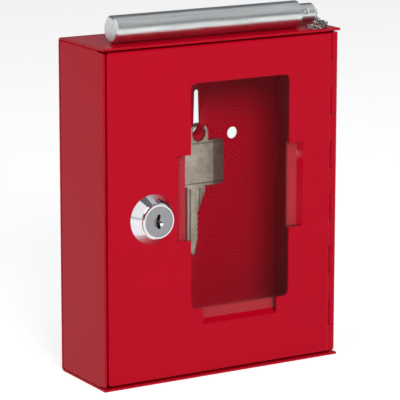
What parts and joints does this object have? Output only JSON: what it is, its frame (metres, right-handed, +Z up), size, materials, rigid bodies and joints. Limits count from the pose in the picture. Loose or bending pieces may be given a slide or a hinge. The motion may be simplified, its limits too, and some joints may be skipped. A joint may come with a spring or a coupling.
{
  "type": "break glass key box",
  "caption": "Shallow red sheet-steel box for a spare emergency key, with a hinged door, glass window, cam lock, key hook and a striker on a fine chain.",
  "frame": {"origin": "centre of the underside of the bottom plate", "axes": "+Z up, the door faces -Y, +X towards the hinge, +Y out of the wall side"},
  "size_m": [0.12, 0.046, 0.162],
  "materials": {
    "red_case": "gloss powder coat",
    "red_door": "gloss powder coat",
    "chrome_lock": "polished",
    "zinc_steel": "zinc plated",
    "striker_steel": "turned",
    "key_nickel": "nickel plated",
    "chain_steel": "bright",
    "brass": "plain",
    "pane": "clear"
  },
  "bodies": {
    "case": {"case_shell": "red_case", "left_side_wall": "red_case", "right_side_wall": "red_case", "hinge_pin": "zinc_steel", "latch_keeper": "red_case", "chain_rivet": "zinc_steel", "anchor_ring": "chain_steel", "chain_links": "chain_steel"},
    "door": {"door_panel": "red_door", "glass_pane": "pane", "lock_rosette": "chrome_lock", "lock_body": "chrome_lock", "lock_washer": "zinc_steel", "lock_nut": "zinc_steel"},
    "lock": {"lock_plug": "chrome_lock", "lock_wafers": "brass", "stop_washer": "zinc_steel", "lock_cam": "zinc_steel", "cam_washer": "zinc_steel", "cam_screw": "zinc_steel"},
    "key": {"stored_key": "key_nickel"},
    "striker": {"striker_rod": "striker_steel", "striker_pin": "striker_steel", "striker_eye": "chain_steel"}
  },
  "joints": [
    {"name": "door_swing", "type": "hinge", "parent": "case", "child": "door", "pos_m": [0.058, -0.0172, 0], "axis": [0, 0, 1], "range_deg": [0, 170]},
    {"name": "lock_turn", "type": "hinge", "parent": "door", "child": "lock", "pos_m": [-0.0363, -0.02, 0.0742], "axis": [0, -1, 0], "range_deg": [0, 90]},
    {"name": "key_swing", "type": "hinge", "parent": "case", "child": "key", "pos_m": [0.009, 0.0178, 0.101], "axis": [0, -1, 0], "range_deg": [-25, 25]},
    {"name": "striker_lift", "type": "slide", "parent": "case", "child": "striker", "axis": [0, 0, 1], "range_m": [0, 0.035], "deforming": ["chain_links"]}
  ]
}
